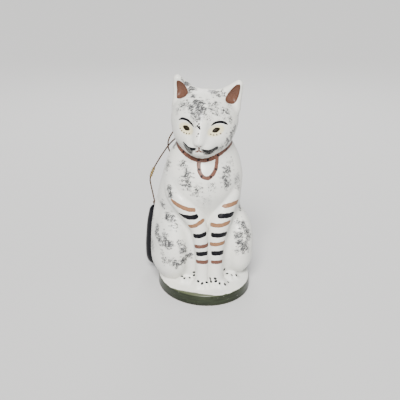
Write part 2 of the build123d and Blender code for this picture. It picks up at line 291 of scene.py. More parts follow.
def glaze():
    paint = Paint("white_glaze", 0.3, SHEEN, 0.10)
    # uneven pooling of the glaze
    pool = paint.step(paint.noise(26.0, 2.0), 0.35, 0.7)
    fine = paint.step(paint.noise(2.6, 3.0, 0.6), 0.35, 0.75)
    colour = paint.mix(paint.times(pool, 0.55), WHITE, COOL_WHITE)
    colour = paint.mix(paint.times(fine, 0.10), colour, SPECK_WHITE)
    # sponged dabs of smoke-black colour under the glaze
    sponge = paint.mask("sponge")
    film = paint.step(paint.noise(3.4, 3.0, 0.6, (1.5, 1.0, 0.8), (0.0, 0.7, 0.0)), 0.30, 0.62)
    film = paint.times(paint.times(film, sponge), 0.85)
    colour = paint.mix(film, colour, SMOKE_FILM)
    grain = paint.noise(1.25, 2.0, 0.65, (1.7, 1.0, 0.85), (0.0, 0.75, 0.0))
    clump = paint.noise(4.2, 1.0)
    wanted = paint.math("ADD", paint.times(sponge, 0.25), paint.times(clump, 0.16))
    level = paint.math("SUBTRACT", 0.748, wanted)
    dab = paint.step(paint.math("SUBTRACT", grain, level), 0.0, 0.045)
    dab = paint.times(dab, paint.step(sponge, 0.02, 0.2))
    smoke = paint.mix(paint.step(paint.noise(2.1, 1.0), 0.4, 0.62), SMOKE, PALE_SMOKE)
    colour = paint.mix(paint.times(dab, 0.92), colour, smoke)
    # cream round the eyes
    colour = paint.mix(paint.times(paint.mask("halo"), 0.75), colour, CREAM)
    # the green rim, brushed round, and the bare foot
    height = paint.height()
    edge = paint.math("ADD", paint.mask("rim"), paint.times(paint.noise(6.0, 2.0), 1.4))
    rim = paint.step(edge, 0.62, 0.80)
    streak = paint.noise(1.6, 3.0, 0.6, (9.0, 9.0, 0.8))
    green = paint.mix(paint.step(streak, 0.35, 0.7), DARK_GREEN, GREEN)
    # darker towards the bottom
    green = paint.mix(paint.step(height, 4.0, 0.5, 0.0, 0.6), green, DARK_GREEN)
    # painted highlight: the green turns lighter along its top edge, as if light catches it there
    green = paint.mix(paint.step(height, 8.8, 10.0, 0.0, 0.35), green, PAINTED_HIGHLIGHT_GREEN)
    chip = paint.times(paint.step(paint.noise(1.3, 2.0, 0.6, (2.2, 2.2, 0.8)), 0.70, 0.73),
                       paint.step(paint.noise(19.0, 1.0), 0.50, 0.62))
    green = paint.mix(chip, green, CHIPPED_GREEN)
    colour = paint.mix(rim, colour, green)
    colour = paint.mix(paint.step(height, 0.45, 0.25), colour, BISQUE)
    rough = paint.step(paint.noise(9.0, 3.0), 0.3, 0.7, 0.27, 0.40)
    pits = paint.step(paint.cells(3.1), 0.05, 0.16)
    bump = paint.math("ADD", paint.noise(1.9, 3.0, 0.55), paint.times(pits, 0.4))
    return paint.finish(colour, rough, bump, 0.12, 0.12)


def black_glaze():
    paint = Paint("black_glaze", 0.34, DULL_SHEEN)
    streak = paint.noise(1.4, 3.0, 0.6, (0.8, 0.8, 7.0))
    thin = paint.times(paint.step(paint.noise(12.0, 2.0), 0.45, 0.75), 0.5)
    colour = paint.mix(paint.step(streak, 0.45, 0.8, 0.0, 0.55), BLACK, WORN_BLACK)
    colour = paint.mix(thin, colour, THIN_BLACK)
    rough = paint.step(paint.noise(5.0, 3.0), 0.3, 0.7, 0.26, 0.42)
    return paint.finish(colour, rough, paint.noise(1.8, 3.0), 0.15, 0.12)


def brushed(name, middle, edge, pale):
    """Brush colour that pools at the edges of a stroke and thins along its middle."""
    paint = Paint(name, 0.36, DULL_SHEEN)
    across = paint.mask("across")
    thin = paint.step(paint.noise(1.5, 3.0, 0.6), 0.40, 0.72)
    colour = paint.mix(paint.times(thin, 0.55), middle, pale)
    colour = paint.mix(paint.step(across, 0.55, 0.95, 0.0, 0.8), colour, edge)
    rough = paint.step(paint.noise(3.0, 2.0), 0.3, 0.7, 0.27, 0.38)
    return paint.finish(colour, rough, paint.noise(1.1, 2.0), 0.10, 0.08)


def cord_brown():
    paint = Paint("brown_cord", 0.5, SHEEN)
    worn = paint.step(paint.noise(0.9, 3.0, 0.6), 0.40, 0.75)
    colour = paint.mix(worn, CORD_BROWN, WORN_CORD)
    return paint.finish(colour, None, paint.noise(0.35, 3.0), 0.4, 0.1)


def gold():
    paint = Paint("gold_thread", 0.38, SHEEN)
    paint.shader.inputs["Metallic"].default_value = 0.55
    patch = paint.step(paint.noise(1.1, 2.0, 0.6), 0.42, 0.62)
    colour = paint.mix(patch, OLD_GOLD, GOLD)
    return paint.finish(colour, None, paint.noise(0.3, 2.0), 0.4, 0.08)


# ---- distance forms
def turn_matrix(about_x=0.0, about_y=0.0, about_z=0.0):
    """The turn about X, then Y, then Z, in degrees."""
    a, b, c = (math.radians(v) for v in (about_x, about_y, about_z))
    rx = np.array([[1, 0, 0], [0, math.cos(a), -math.sin(a)], [0, math.sin(a), math.cos(a)]])
    ry = np.array([[math.cos(b), 0, math.sin(b)], [0, 1, 0], [-math.sin(b), 0, math.cos(b)]])
    rz = np.array([[math.cos(c), -math.sin(c), 0], [math.sin(c), math.cos(c), 0], [0, 0, 1]])
    return rz @ ry @ rx


HEAD_MATRIX = turn_matrix(0.0, HEAD_TIP, HEAD_TURN)


def ellipsoid(p, centre, radii, turn=None):
    q = p - np.array(centre, float)
    if turn is not None:
        q = q @ turn_matrix(*turn)
    r = np.array(radii, float)
    k0 = np.linalg.norm(q / r, axis=1)
    k1 = np.linalg.norm(q / (r * r), axis=1)
    return k0 * (k0 - 1.0) / np.maximum(k1, 1e-9)


def unit(v):
    return v / np.linalg.norm(v, axis=-1, keepdims=True)


def to_run(p, start, end):
    """How far along the run from start to end each point is, as a share, and how far from it."""
    run = end - start
    t = np.clip((p - start) @ run / (run @ run), 0, 1)
    return t, np.linalg.norm(p - start - t[:, None] * run, axis=1)


def tapered(p, start, end):
    """A round rod from one (x, y, z, radius) to another."""
    t, gap = to_run(p, np.array(start[:3], float), np.array(end[:3], float))
    return gap - (start[3] + (end[3] - start[3]) * t)


def blend_in(a, b, width):
    """Union with a clay fillet of about that width."""
    h = np.maximum(width - np.abs(a - b), 0) / width
    return np.minimum(a, b) - h * h * width * 0.25


def cut_with(a, b, width):
    """What a and b share, with its edge rounded about that wide."""
    return -blend_in(-a, -b, width)


def smooth_along(x, at, values):
    """A smooth curve through values, held level past both ends."""
    x = np.clip(x, at[0], at[-1])
    i = np.clip(np.searchsorted(at, x) - 1, 0, len(at) - 2)
    slope = np.gradient(values, at)
    h = at[i + 1] - at[i]
    t = (x - at[i]) / h
    return ((2 * t**3 - 3 * t**2 + 1) * values[i] + (t**3 - 2 * t**2 + t) * h * slope[i]
            + (3 * t**2 - 2 * t**3) * values[i + 1] + (t**3 - t**2) * h * slope[i + 1])


def smooth_path(points, at, fine):
    """The smooth curve through points that lie at those parameters, read at fine ones."""
    return np.stack([smooth_along(fine, at, column) for column in points.T], 1)


def limb(p, rounds):
    """A smooth rod through rounds of (x, y, z, radius)."""
    rounds = np.array(rounds, float)
    at = np.arange(len(rounds), dtype=float)
    fine = np.linspace(0, at[-1], LIMB_STEPS * (len(rounds) - 1) + 1)
    path = smooth_path(rounds[:, :3], at, fine)
    nearest = np.full(len(p), np.inf)
    place = np.zeros(len(p))
    for step, (start, end) in enumerate(zip(path, path[1:])):
        t, gap = to_run(p, start, end)
        closer = gap < nearest
        nearest = np.where(closer, gap, nearest)
        place = np.where(closer, (step + t) / LIMB_STEPS, place)
    return nearest - smooth_along(place, at, rounds[:, 3])


def slab(p, *corners):
    """Distance to a flat triangle."""
    a, b, c = (np.array(v, float) for v in corners)
    normal = np.cross(b - a, c - a)
    flat = np.sqrt(((p - a) @ normal) ** 2 / (normal @ normal))
    inside = np.full(len(p), True)
    edge = np.full(len(p), np.inf)
    for start, end in ((a, b), (b, c), (c, a)):
        inside &= (p - start) @ np.cross(normal, end - start) > 0
        edge = np.minimum(edge, to_run(p, start, end)[1])
    return np.where(inside, flat, edge)


def oval_column(p, cx, cy, half_width, half_depth):
    """An upright oval column, and how far out each point lies as a share of the oval."""
    qx, qy = (p[:, 0] - cx) / half_width, (p[:, 1] - cy) / half_depth
    k0 = np.sqrt(qx * qx + qy * qy)
    k1 = np.sqrt((qx / half_width) ** 2 + (qy / half_depth) ** 2)
    return k0 * (k0 - 1.0) / np.maximum(k1, 1e-6), k0


def within(p, low, high, form):
    """A form worked out only near its box, which saves time; further off, the box's distance."""
    low, high = np.array(low, float), np.array(high, float)
    value = np.linalg.norm(np.maximum(np.maximum(low - p, p - high), 0.0), axis=1)
    near = value < CLOSE
    if near.any():
        value[near] = form(p[near])
    return value


# ---- the clay's parts
def torso_form(p):
    at, *columns = np.array(TORSO).T
    at = at + PLINTH_H
    column, _ = oval_column(p, *(smooth_along(p[:, 2], at, values) for values in columns))
    form = cut_with(column, np.maximum(p[:, 2] - at[-1], at[0] - 3.0 - p[:, 2]), 6.0)
    form = blend_in(form, ellipsoid(p, *RUMP), 12.0)
    return blend_in(form, ellipsoid(p, *CHEST), 10.0)


def to_head(p):
    """Figure frame to the head's own frame: it looks along its -Y."""
    return (p - HEAD_MIDDLE) @ HEAD_MATRIX


def from_head(q):
    return np.array(q, float) @ HEAD_MATRIX.T + HEAD_MIDDLE


def skull_form(q):
    form = blend_in(ellipsoid(q, *SKULL), ellipsoid(q, *FACE), 9.0)
    for side in (-1, 1):
        mirrored = q * (side, 1, 1)
        form = cut_with(form, -ellipsoid(mirrored, *EYE_HOLLOW), 6.0)
        form = blend_in(form, ellipsoid(mirrored, *CHEEK), 5.0)
    form = blend_in(form, tapered(q, *NOSE_BRIDGE), 6.0)
    form = blend_in(form, ellipsoid(q, *NOSE), 2.5)
    return blend_in(form, ellipsoid(q, *CHIN), 5.0)


def ear_form(q, side):
    corners, lean, hollow, radii = EARS[side]
    plate = slab(q, *corners) - EAR_THICK
    return cut_with(plate, -ellipsoid(q, hollow, radii, (0, lean, 0)), 2.0)


def head_form(p):
    q = to_head(p)
    form = skull_form(q)
    for side in EARS:
        form = blend_in(form, ear_form(q, side), 6.0)
    return form


def haunch_form(p, thigh, hock):
    return blend_in(ellipsoid(p, *thigh), ellipsoid(p, *hock), 8.0)


def plinth_form(p):
    lean = PLINTH_LEAN * np.clip(p[:, 2] / PLINTH_H, 0, 1)
    column, out = oval_column(p, 0.0, 0.0, PLINTH_A - lean, PLINTH_B - lean)
    top = PLINTH_H + PLINTH_CROWN * (1 - np.clip(out, 0, 1) ** 2)
    return cut_with(cut_with(column, p[:, 2] - top, 2.0), -p[:, 2], FOOT_ROUND)


def paw_form(p, name):
    """A paw with its three toes."""
    centre, radii, turned, toes = PAWS[name]
    form = ellipsoid(p, centre, radii, (0, 0, turned))
    for x, y in toes:
        form = blend_in(form, ellipsoid(p, (x, y, TOE_HEIGHT), TOE_RADII), 1.6)
    return form


def paws_form(p):
    form, *others = (paw_form(p, name) for name in PAWS)
    for other in others:
        form = blend_in(form, other, 2.5)
    return form


def tail_form(p):
    return limb(p, TAIL)


def forelegs_form(p):
    return blend_in(limb(p, RIGHT_LEG), limb(p, LEFT_LEG), 0.8)


def right_haunch_form(p):
    return blend_in(haunch_form(p, *RIGHT_HAUNCH), limb(p, RIGHT_FLANK), 7.0)


def left_haunch_form(p):
    return haunch_form(p, *LEFT_HAUNCH)


# what grows out of the torso: the box it stays in, its form and the width of its fillet
GROWN = [
    ((-42, -42, 3), (36, 16, 126), forelegs_form, 2.0),
    ((-52, -32, 5), (-8, 36, 90), right_haunch_form, 4.0),
    ((8, -32, 5), (52, 36, 80), left_haunch_form, 4.0),
    ((-36, -46, 130), (36, 32, 204), head_form, 3.2),
    ((-36, -44, 3), (36, 8, 22), paws_form, 2.2),
    ((-45, -53, 0), (45, 53, 13), plinth_form, 3.5),
]


def clay_form(p):
    """The whole white figure with its plinth."""
    form = torso_form(p)
    for low, high, part, width in GROWN:
        form = blend_in(form, within(p, low, high, part), width)
    return cut_with(form, -p[:, 2], FOOT_ROUND)


# ---- from forms to meshes
# the pieces the figure is luted together from: name, the CAD node each stands for, and form
CLAY_PIECES = [
    ("plinth", "base_plinth", plinth_form),
    ("torso", "torso_shell", torso_form),
    ("head", "head_shell", lambda p: skull_form(to_head(p))),
    ("right_ear_shell", "right_ear", lambda p: ear_form(to_head(p), "right")),
    ("left_ear_shell", "left_ear", lambda p: ear_form(to_head(p), "left")),
    ("right_haunch_shell", "right_haunch", right_haunch_form),
    ("left_haunch_shell", "left_haunch", left_haunch_form),
    ("right_foreleg_and_paw", "right_foreleg",
     lambda p: np.minimum(limb(p, RIGHT_LEG), paw_form(p, "right_fore"))),
    ("left_foreleg_and_paw", "left_foreleg",
     lambda p: np.minimum(limb(p, LEFT_LEG), paw_form(p, "left_fore"))),
    ("right_hind_paw_and_toes", "right_hind_paw", lambda p: paw_form(p, "right_hind")),
    ("left_hind_paw_and_toes", "left_hind_paw", lambda p: paw_form(p, "left_hind")),
]


def slope_of(form, p, value=None, reach=0.06):
    value = form(p) if value is None else value
    return np.stack([form(p + step) - value for step in np.eye(3) * reach], 1) / reach


def settle(form, p, times=3, most=1.0):
    """Moves points along the slope onto the form's skin."""
    for _ in range(times):
        value = form(p)
        slope = slope_of(form, p, value)
        move = value / np.maximum((slope * slope).sum(1), 0.05)
        p = p - np.clip(move, -most, most)[:, None] * slope
    return p


def outward(form, p, reach=0.06):
    return unit(slope_of(form, p, reach=reach))


def grid_values(form, axes, stride=3):
    """The form over a grid, worked out finely only near the skin."""
    def over(lines):
        grid = np.stack(np.meshgrid(*lines, indexing="ij"), -1).reshape(-1, 3)
        return form(grid).reshape([len(line) for line in lines])

    step = axes[0][1] - axes[0][0]
    rough = over([line[::stride] for line in axes])
    nearest = [np.minimum((np.arange(len(line)) + stride // 2) // stride, rough.shape[i] - 1)
               for i, line in enumerate(axes)]
    value = rough[np.ix_(*nearest)]
    at = np.argwhere(np.abs(value) < stride * step * 1.3 + 1.0)
    for i in range(0, len(at), BATCH):
        some = at[i:i + BATCH]
        places = np.stack([axes[axis][some[:, axis]] for axis in range(3)], 1)
        value[tuple(some.T)] = form(places)
    return value


def surface_net(form, low, high, step):
    """Corners and four-sided faces of a form's skin, as a net over a grid."""
    low = np.array(low, float)
    counts = np.ceil((np.array(high) - low) / step).astype(int) + 1
    axes = [low[i] + step * np.arange(counts[i]) for i in range(3)]
    value = grid_values(form, axes)
    cells = counts - 1
    total = np.zeros((int(np.prod(cells)), 3))
    hits = np.zeros(len(total))
    faces = []
    for axis in range(3):
        one, two = (axis + 1) % 3, (axis + 2) % 3
        near = np.take(value, np.arange(counts[axis] - 1), axis)
        far = np.take(value, np.arange(1, counts[axis]), axis)
        at = np.argwhere((near < 0) != (far < 0))
        v0, v1 = near[tuple(at.T)], far[tuple(at.T)]
        place = at.astype(float)
        place[:, axis] += v0 / (v0 - v1)
        ring = []
        for back_one, back_two in ((0, 0), (1, 0), (1, 1), (0, 1)):
            cell = at.copy()
            cell[:, one] -= back_one
            cell[:, two] -= back_two
            index = np.ravel_multi_index(cell.T, cells)
            np.add.at(total, index, place)
            np.add.at(hits, index, 1)
            ring.append(index)
        ring = np.stack(ring, 1)
        faces.append(np.where((v0 < 0)[:, None], ring, ring[:, ::-1]))
    faces = np.concatenate(faces)
    used = np.nonzero(hits)[0]
    number = np.zeros(len(hits), int)
    number[used] = np.arange(len(used))
    return low + step * total[used] / hits[used][:, None], number[faces]


def relax(form, p, faces, times=3):
    """Evens out the net and keeps it on the skin."""
    ends = np.concatenate([faces[:, [i, (i + 1) % 4]] for i in range(4)])
    count = np.bincount(ends[:, 0], minlength=len(p))
    for _ in range(times):
        total = np.stack([np.bincount(ends[:, 0], p[ends[:, 1], i], len(p)) for i in range(3)], 1)
        p = settle(form, 0.4 * p + 0.6 * total / count[:, None], 1)
    return settle(form, p, 2)


def mesh_piece(name, p, faces, paint, slot, node=None, masks=None, normals=None):
    """A smooth-shaded piece from points in millimetres, riding on the figure."""
    mesh = bpy.data.meshes.new(name)
    mesh.from_pydata((np.asarray(p) * MM).tolist(), [], [list(map(int, face)) for face in faces])
    mesh.shade_smooth()
    mesh.materials.append(paint)
    for key, values in (masks or {}).items():
        mask = mesh.attributes.new(key, "FLOAT", "POINT")
        mask.data.foreach_set("value", np.asarray(values, np.float32))
    if normals is not None:
        mesh.normals_split_custom_set_from_vertices(normals.tolist())
    mesh.update()
    piece = put(name, mesh)
    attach(piece, BODY)
    if node:
        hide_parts(node)
    return piece


def lattice(rows, columns, first=0, around=True, closed=False):
    """Four-sided faces between rows of points. Each row is a ring if around, or else a line."""
    faces = []
    for i in range(rows if closed else rows - 1):
        here, there = first + i * columns, first + (i + 1) % rows * columns
        for j in range(columns if around else columns - 1):
            beside = (j + 1) % columns
            faces.append((here + j, here + beside, there + beside, there + j))
    return faces


def touching(faces):
    """Pairs of faces that share an edge."""
    ends = np.sort(np.stack([faces, np.roll(faces, -1, 1)], -1), -1).reshape(-1, 2)
    order = np.lexsort(ends.T)
    same = (ends[order[1:]] == ends[order[:-1]]).all(1)
    owner = order // 4
    return owner[:-1][same], owner[1:][same]


def patches(piece, here, there):
    """A number for each connected patch of faces that belong to one piece."""
    same = piece[here] == piece[there]
    a, b = here[same], there[same]
    patch = np.arange(len(piece))
    while True:
        lowest = np.minimum(patch[a], patch[b])
        joined_up = patch.copy()
        np.minimum.at(joined_up, a, lowest)
        np.minimum.at(joined_up, b, lowest)
        joined_up = joined_up[joined_up]
        if (joined_up == patch).all():
            return patch
        patch = joined_up


def share_out(p, faces, rounds=6):
    """Which clay piece each face belongs to, with evened-out seams."""
    middle = p[faces].mean(1)
    piece = np.argmin([form(middle) for *_, form in CLAY_PIECES], axis=0)
    here, there = touching(faces)
    for _ in range(rounds):
        votes = np.zeros((len(faces), len(CLAY_PIECES)))
        votes[np.arange(len(faces)), piece] += OWN_VOTE
        np.add.at(votes, (here, piece[there]), 1.0)
        np.add.at(votes, (there, piece[here]), 1.0)
        piece = np.argmax(votes, axis=1)
    # a small patch cut off from the rest of its piece joins the piece round it
    while True:
        patch = patches(piece, here, there)
        numbers, sizes = np.unique(patch, return_counts=True)
        small = numbers[sizes < SMALL_PATCH]
        if not len(small):
            break
        own = patch == small[0]
        edge = own[here] != own[there]
        beyond = np.where(own[here[edge]], there[edge], here[edge])
        piece[own] = np.bincount(piece[beyond]).argmax()
    return piece


def make_figure(paint):
    """The glazed figure: one skin, shared out between the pieces it was luted together from."""
    p, faces = surface_net(clay_form, *CLAY_BOX, NET_STEP)
    p = relax(clay_form, p, faces)
    # pockets closed inside the clay are left out
    patch = patches(np.zeros(len(faces), int), *touching(faces))
    faces = faces[patch == np.bincount(patch).argmax()]
    normals = outward(clay_form, p, NORMAL_REACH)
    masks = {"sponge": sponge_mask(p), "halo": halo_mask(p), "rim": rim_mask(p)}
    piece = share_out(p, faces)
    for number, (name, node, _) in enumerate(CLAY_PIECES):
        own = faces[piece == number]
        used, corner = np.unique(own, return_inverse=True)
        own_masks = {key: values[used] for key, values in masks.items()}
        corners = corner.reshape(own.shape)
        slot = "green_glaze" if name == "plinth" else "white_glaze"
        mesh_piece(name, p[used], corners, paint, slot, node, own_masks, normals[used])


# ---- drawing on the clay
def cast(form, start, along, reach=140.0):
    """Where rays from start points first meet a form."""
    p = np.array(start, float)
    along = np.array(along, float)
    gone = np.zeros(len(p))
    for _ in range(60):
        gap = np.clip(form(p + gone[:, None] * along) * 0.8, -2.0, 12.0)
        gone = np.minimum(gone + gap, reach)
    return p + gone[:, None] * along


def on_face(drawn):
    """Points drawn as (sideways, up) on the front of the head, put on the skin."""
    start = from_head([(x, -60.0, z) for x, z in drawn])
    return cast(clay_form, start, HEAD_MATRIX @ np.array([0.0, 1.0, 0.0]))


def on_front(drawn):
    """Points drawn as (sideways, up) on the front of the figure, put on the skin."""
    return cast(clay_form, [(x, -80.0, z) for x, z in drawn], (0.0, 1.0, 0.0))


def length_along(p):
    return np.concatenate([[0.0], np.cumsum(np.linalg.norm(np.diff(p, axis=0), axis=1))])


def read_along(values, known, at):
    """Rows of values, given at known lengths, read at others."""
    return np.stack([np.interp(at, known, column) for column in values.T], 1)


# a stroke's section: how far across, as a share of its half width, and how far it stands up
CROSS = ((-1.25, SUNK), (-1.0, 0.03), (-0.8, 0.07), (-0.45, 0.09), (0.0, PAINT_LIFT),
         (0.45, 0.09), (0.8, 0.07), (1.0, 0.03), (1.25, SUNK))


def stroke(seeds, width, taper=(0.0, 0.0), uneven=0.08, closed=False):
    """A brush stroke over seeds. taper is how far in, in millimetres, it thins from each end."""
    seeds = np.array(seeds, float)
    fine = np.linspace(0, len(seeds) - 1, 12 * (len(seeds) - 1) + 1)
    line = smooth_path(seeds, np.arange(len(seeds), dtype=float), fine)
    line = settle(clay_form, line, 3, 3.0)
    gone = length_along(line)
    total = gone[-1]
    blunt = min(width / 2, total / 3)
    if closed:
        at = np.linspace(0, total, int(total / BRUSH_STEP))[:-1]
        end_gap = np.full(len(at), blunt)
    else:
        near_end = blunt * np.array([0.0, 0.12, 0.35, 0.7])
        middle = np.linspace(blunt, total - blunt, max(3, int((total - 2 * blunt) / BRUSH_STEP)))
        at = np.concatenate([near_end, middle, total - near_end[::-1]])
        end_gap = np.minimum(at, total - at)
    line = settle(clay_form, read_along(line, gone, at), 2)
    normal = outward(clay_form, line)
    along = np.roll(line, -1, 0) - np.roll(line, 1, 0) if closed else np.gradient(line, axis=0)
    side = unit(np.cross(normal, along))
    half = width / 2 * np.sqrt(np.clip(1 - (1 - np.clip(end_gap / blunt, 0, 1)) ** 2, 0.02, 1))
    for reach, gap in ((taper[0], at), (taper[1], total - at)):
        if reach > 0:
            half *= 0.25 + 0.75 * np.clip(gap / reach, 0, 1) ** 0.8
    phase = random.uniform(0, ALL_PHASES)
    waves = max(1, round(total / 5.7)) * math.tau / total
    half *= 1 + uneven * np.sin(at * waves + phase) + 0.6 * uneven * np.sin(at * 2 * waves + 2 * phase)
    drift = uneven * width * 0.35 * np.sin(at * waves + 3 * phase)
    across, lift = np.array(CROSS).T
    p = line[:, None] + side[:, None] * (across[None, :] * half[:, None] + drift[:, None])[..., None]
    p = settle(clay_form, p.reshape(-1, 3), 2)
    sink = np.where(end_gap <= 0, SUNK, np.where(end_gap < 0.2 * blunt, 0.0, 1.0))
    rise = np.where(sink[:, None] > 0, lift[None, :], np.minimum(sink[:, None], lift[None, :]))
    p += outward(clay_form, p) * rise.reshape(-1, 1)
    faces = [(a, d, c, b) for a, b, c, d in lattice(len(at), len(CROSS), around=False, closed=closed)]
    edge = np.maximum(np.abs(across)[None, :], 1 - np.clip(end_gap / blunt, 0, 1)[:, None])
    return p, faces, np.clip(edge, 0, 1).ravel()


def spread(centre, outline):
    """A filled patch of colour: rings between its centre and its outline, both near the skin."""
    outline = np.array(outline, float)
    centre = np.array(centre, float)
    count = len(outline)
    reach = np.linalg.norm(outline - centre, axis=1).mean()
    inner = np.linspace(0, 1 - 0.3 / max(reach, 0.6), max(3, int(reach / 0.8)) + 1)[1:]
    outs = [*inner, 1.0, 1.0 + 0.35 / reach]
    lifts = [PAINT_LIFT] * (len(inner) - 1) + [0.085, 0.02, -0.2]
    rings = [centre + (outline - centre) * out for out in outs]
    p = settle(clay_form, np.concatenate([centre[None], *rings]), 3)
    p += outward(clay_form, p) * np.concatenate([[PAINT_LIFT], np.repeat(lifts, count)])[:, None]
    faces = lattice(len(outs), count, first=1)
    faces += [(0, 1 + (j + 1) % count, 1 + j) for j in range(count)]
    across = np.concatenate([[0.0], np.repeat(np.clip(outs, 0, 1), count)])
    return p, facing_out(p, faces), across


def facing_out(p, faces):
    """Turns the faces round where they look into the clay."""
    a, b, c = (p[i] for i in faces[-1][:3])
    looks = np.cross(b - a, c - a) @ outward(clay_form, a[None])[0]
    return faces if looks > 0 else [face[::-1] for face in faces]


def dot_at(place, radius):
    """A round dab of colour, a little out of round."""
    place = settle(clay_form, np.array([place], float), 4, 3.0)
    normal = outward(clay_form, place)[0]
    side = unit(np.cross(normal, (0.3, 0.2, 0.93)))
    up = np.cross(normal, side)
    phase = random.uniform(0, ALL_PHASES)
    outline = []
    for step in range(12):
        angle = step * math.tau / 12
        reach = radius * (1 + 0.14 * math.sin(2 * angle + phase) + random.uniform(-0.05, 0.05))
        outline.append(place[0] + reach * (math.cos(angle) * side + math.sin(angle) * up))
    return spread(place[0], outline)


def drawn(name, parts, finish):
    """One piece of drawn parts: each has points, faces, and how near an edge each point is."""
    points, faces, across = [], [], []
    base = 0
    for p, part_faces, part_across in parts:
        points.append(p)
        across.append(part_across)
        faces += [tuple(base + i for i in face) for face in part_faces]
        base += len(p)
    masks = {"across": np.concatenate(across)}
    mesh_piece(name, np.concatenate(points), faces, *finish, masks=masks)


def raised(part, by=0.1):
    """The same drawing lifted over another stroke."""
    p, faces, across = part
    return p + outward(clay_form, p) * by, faces, across


